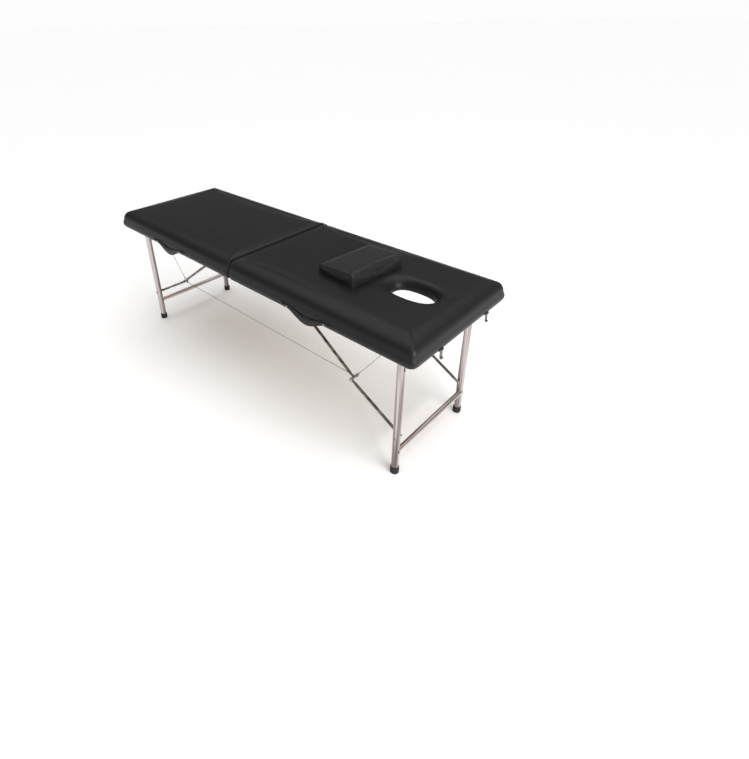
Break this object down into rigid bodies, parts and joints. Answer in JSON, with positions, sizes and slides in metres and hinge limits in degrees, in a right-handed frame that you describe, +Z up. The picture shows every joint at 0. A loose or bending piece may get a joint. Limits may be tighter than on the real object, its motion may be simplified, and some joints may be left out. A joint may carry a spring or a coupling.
{
  "type": "facial treatment bed",
  "caption": "Folding padded treatment bed on two tubular leg frames, with a face hole, knee braces with wire stays, carry handles and a loose wedge pillow.",
  "frame": {"origin": "on the floor below the middle of the open bed, midway between the two halves and between the long sides", "axes": "+X along the bed towards the head end with the face hole, +Y across the bed away from the side with the carry handles, +Z up"},
  "size_m": [1.8711, 0.6112, 0.7073],
  "materials": {
    "leatherette": "satin black synthetic leather with a fine grain",
    "foam": "matte open-cell foam",
    "plywood": "matte plywood",
    "timber": "matte planed timber",
    "tube_steel": "polished stainless tube",
    "brace_steel": "satin stainless tube",
    "plate_steel": "satin zinc-plated steel",
    "wire_steel": "stranded steel wire rope",
    "black_metal": "satin black enamel",
    "rubber": "matte black rubber"
  },
  "bodies": {
    "head_panel": {"head_cover": "leatherette", "head_foam": "foam", "head_board": "plywood", "head_rim": "timber", "hinge_leaf_head": "plate_steel", "head_handle_plate_left": "black_metal", "head_handle_plate_right": "black_metal", "head_leg_bracket_near": "plate_steel", "head_brace_bracket_near": "plate_steel", "head_leg_bracket_far": "plate_steel", "head_brace_bracket_far": "plate_steel", "hasp_plate_near": "plate_steel", "hasp_plate_far": "plate_steel"},
    "centre_link": {"hinge_link": "wire_steel"},
    "foot_panel": {"foot_cover": "leatherette", "foot_foam": "foam", "foot_board": "plywood", "foot_rim": "timber", "hinge_leaf_foot": "plate_steel", "foot_handle_plate_left": "black_metal", "foot_handle_plate_right": "black_metal", "foot_leg_bracket_near": "plate_steel", "foot_brace_bracket_near": "plate_steel", "foot_leg_bracket_far": "plate_steel", "foot_brace_bracket_far": "plate_steel", "hasp_post_near": "plate_steel", "hasp_post_far": "plate_steel"},
    "head_legs": {"head_leg_near": "tube_steel", "head_leg_far": "tube_steel", "head_foot_cap_near": "rubber", "head_foot_cap_far": "rubber", "head_lower_crossbar": "tube_steel", "head_upper_crossbar": "tube_steel"},
    "head_upper_brace_near": {"head_upper_brace_near": "brace_steel"},
    "head_lower_brace_near": {"head_lower_brace_near": "brace_steel"},
    "head_short_stay_near": {"head_short_stay_near": "wire_steel"},
    "head_long_stay_near": {"head_long_stay_near": "wire_steel"},
    "head_upper_brace_far": {"head_upper_brace_far": "brace_steel"},
    "head_lower_brace_far": {"head_lower_brace_far": "brace_steel"},
    "head_short_stay_far": {"head_short_stay_far": "wire_steel"},
    "head_long_stay_far": {"head_long_stay_far": "wire_steel"},
    "head_handle": {"head_handle": "leatherette"},
    "foot_legs": {"foot_leg_near": "tube_steel", "foot_leg_far": "tube_steel", "foot_foot_cap_near": "rubber", "foot_foot_cap_far": "rubber", "foot_lower_crossbar": "tube_steel", "foot_upper_crossbar": "tube_steel"},
    "foot_upper_brace_near": {"foot_upper_brace_near": "brace_steel"},
    "foot_lower_brace_near": {"foot_lower_brace_near": "brace_steel"},
    "foot_short_stay_near": {"foot_short_stay_near": "wire_steel"},
    "foot_long_stay_near": {"foot_long_stay_near": "wire_steel"},
    "foot_upper_brace_far": {"foot_upper_brace_far": "brace_steel"},
    "foot_lower_brace_far": {"foot_lower_brace_far": "brace_steel"},
    "foot_short_stay_far": {"foot_short_stay_far": "wire_steel"},
    "foot_long_stay_far": {"foot_long_stay_far": "wire_steel"},
    "foot_handle": {"foot_handle": "leatherette"},
    "hasp_arm_near": {"hasp_arm_near": "plate_steel"},
    "hasp_arm_far": {"hasp_arm_far": "plate_steel"},
    "pillow": {"pillow": "leatherette"}
  },
  "joints": [
    {"name": "leg_fold", "type": "hinge", "parent": "head_panel", "child": "head_legs", "pos_m": [0.832, 0, 0.583], "axis": [0, 1, 0], "range_deg": [0, 90]},
    {"name": "centre_turn", "type": "hinge", "parent": "head_panel", "child": "centre_link", "pos_m": [0.004, 0, 0.5635], "axis": [0, -1, 0], "range_deg": [0, 90]},
    {"name": "centre_fold", "type": "hinge", "parent": "centre_link", "child": "foot_panel", "pos_m": [-0.004, 0, 0.5635], "axis": [0, -1, 0], "range_deg": [0, 90]},
    {"name": "foot_leg_fold", "type": "hinge", "parent": "foot_panel", "child": "foot_legs", "pos_m": [-0.832, 0, 0.583], "axis": [0, -1, 0], "range_deg": [0, 90]},
    {"name": "head_upper_brace_near_turn", "type": "hinge", "parent": "head_panel", "child": "head_upper_brace_near", "pos_m": [0.18507, -0.19, 0.595], "axis": [0, -1, 0], "range_deg": [0, 35.7]},
    {"name": "head_lower_brace_near_turn", "type": "hinge", "parent": "head_legs", "child": "head_lower_brace_near", "pos_m": [0.832, -0.204, 0.17], "axis": [0, 1, 0], "range_deg": [0, 58.6]},
    {"name": "head_short_stay_near_turn", "type": "hinge", "parent": "head_panel", "child": "head_short_stay_near", "pos_m": [0.815, -0.175, 0.597], "axis": [0, 1, 0], "range_deg": [0, 53.4], "deforming": ["head_short_stay_near"]},
    {"name": "head_long_stay_near_turn", "type": "hinge", "parent": "head_upper_brace_near", "child": "head_long_stay_near", "pos_m": [0.595, -0.18, 0.301], "axis": [0, 1, 0], "range_deg": [0, 35.7], "deforming": ["head_long_stay_near"]},
    {"name": "head_upper_brace_far_turn", "type": "hinge", "parent": "head_panel", "child": "head_upper_brace_far", "pos_m": [0.18507, 0.19, 0.595], "axis": [0, -1, 0], "range_deg": [0, 35.7]},
    {"name": "head_lower_brace_far_turn", "type": "hinge", "parent": "head_legs", "child": "head_lower_brace_far", "pos_m": [0.832, 0.204, 0.17], "axis": [0, 1, 0], "range_deg": [0, 58.6]},
    {"name": "head_short_stay_far_turn", "type": "hinge", "parent": "head_panel", "child": "head_short_stay_far", "pos_m": [0.815, 0.175, 0.597], "axis": [0, 1, 0], "range_deg": [0, 53.4], "deforming": ["head_short_stay_far"]},
    {"name": "head_long_stay_far_turn", "type": "hinge", "parent": "head_upper_brace_far", "child": "head_long_stay_far", "pos_m": [0.595, 0.18, 0.301], "axis": [0, 1, 0], "range_deg": [0, 35.7], "deforming": ["head_long_stay_far"]},
    {"name": "head_handle_swing", "type": "hinge", "parent": "head_panel", "child": "head_handle", "pos_m": [0.462, -0.3067, 0.585], "axis": [-1, 0, 0], "range_deg": [0, 120]},
    {"name": "foot_upper_brace_near_turn", "type": "hinge", "parent": "foot_panel", "child": "foot_upper_brace_near", "pos_m": [-0.18507, -0.19, 0.595], "axis": [0, 1, 0], "range_deg": [0, 35.7]},
    {"name": "foot_lower_brace_near_turn", "type": "hinge", "parent": "foot_legs", "child": "foot_lower_brace_near", "pos_m": [-0.832, -0.204, 0.17], "axis": [0, -1, 0], "range_deg": [0, 58.6]},
    {"name": "foot_short_stay_near_turn", "type": "hinge", "parent": "foot_panel", "child": "foot_short_stay_near", "pos_m": [-0.815, -0.175, 0.597], "axis": [0, -1, 0], "range_deg": [0, 53.4], "deforming": ["foot_short_stay_near"]},
    {"name": "foot_long_stay_near_turn", "type": "hinge", "parent": "foot_upper_brace_near", "child": "foot_long_stay_near", "pos_m": [-0.595, -0.18, 0.301], "axis": [0, -1, 0], "range_deg": [0, 35.7], "deforming": ["foot_long_stay_near"]},
    {"name": "foot_upper_brace_far_turn", "type": "hinge", "parent": "foot_panel", "child": "foot_upper_brace_far", "pos_m": [-0.18507, 0.19, 0.595], "axis": [0, 1, 0], "range_deg": [0, 35.7]},
    {"name": "foot_lower_brace_far_turn", "type": "hinge", "parent": "foot_legs", "child": "foot_lower_brace_far", "pos_m": [-0.832, 0.204, 0.17], "axis": [0, -1, 0], "range_deg": [0, 58.6]},
    {"name": "foot_short_stay_far_turn", "type": "hinge", "parent": "foot_panel", "child": "foot_short_stay_far", "pos_m": [-0.815, 0.175, 0.597], "axis": [0, -1, 0], "range_deg": [0, 53.4], "deforming": ["foot_short_stay_far"]},
    {"name": "foot_long_stay_far_turn", "type": "hinge", "parent": "foot_upper_brace_far", "child": "foot_long_stay_far", "pos_m": [-0.595, 0.18, 0.301], "axis": [0, -1, 0], "range_deg": [0, 35.7], "deforming": ["foot_long_stay_far"]},
    {"name": "foot_handle_swing", "type": "hinge", "parent": "foot_panel", "child": "foot_handle", "pos_m": [-0.462, -0.3067, 0.585], "axis": [-1, 0, 0], "range_deg": [0, 120]},
    {"name": "hasp_near_swing", "type": "hinge", "parent": "head_panel", "child": "hasp_arm_near", "pos_m": [0.9313, -0.15, 0.572], "axis": [0, -1, 0], "range_deg": [0, 150]},
    {"name": "hasp_far_swing", "type": "hinge", "parent": "head_panel", "child": "hasp_arm_far", "pos_m": [0.9313, 0.15, 0.572], "axis": [0, -1, 0], "range_deg": [0, 150]},
    {"name": "pillow_lift", "type": "slide", "parent": "head_panel", "child": "pillow", "axis": [0, 0, 1], "range_m": [0, 0.2]}
  ],
  "couplings": [
    {"joint": "centre_turn", "follows": "leg_fold", "ratio": 1},
    {"joint": "foot_leg_fold", "follows": "leg_fold", "ratio": 1},
    {"joint": "head_upper_brace_near_turn", "follows": "leg_fold", "ratio": 0.39609},
    {"joint": "head_lower_brace_near_turn", "follows": "leg_fold", "ratio": 0.65032},
    {"joint": "head_short_stay_near_turn", "follows": "leg_fold", "ratio": 0.5931},
    {"joint": "head_long_stay_near_turn", "follows": "centre_fold", "ratio": 0.39609},
    {"joint": "head_upper_brace_far_turn", "follows": "leg_fold", "ratio": 0.39609},
    {"joint": "head_lower_brace_far_turn", "follows": "leg_fold", "ratio": 0.65032},
    {"joint": "head_short_stay_far_turn", "follows": "leg_fold", "ratio": 0.5931},
    {"joint": "head_long_stay_far_turn", "follows": "centre_fold", "ratio": 0.39609},
    {"joint": "foot_upper_brace_near_turn", "follows": "leg_fold", "ratio": 0.39609},
    {"joint": "foot_lower_brace_near_turn", "follows": "leg_fold", "ratio": 0.65032},
    {"joint": "foot_short_stay_near_turn", "follows": "leg_fold", "ratio": 0.5931},
    {"joint": "foot_long_stay_near_turn", "follows": "centre_fold", "ratio": 0.39609},
    {"joint": "foot_upper_brace_far_turn", "follows": "leg_fold", "ratio": 0.39609},
    {"joint": "foot_lower_brace_far_turn", "follows": "leg_fold", "ratio": 0.65032},
    {"joint": "foot_short_stay_far_turn", "follows": "leg_fold", "ratio": 0.5931},
    {"joint": "foot_long_stay_far_turn", "follows": "centre_fold", "ratio": 0.39609}
  ]
}
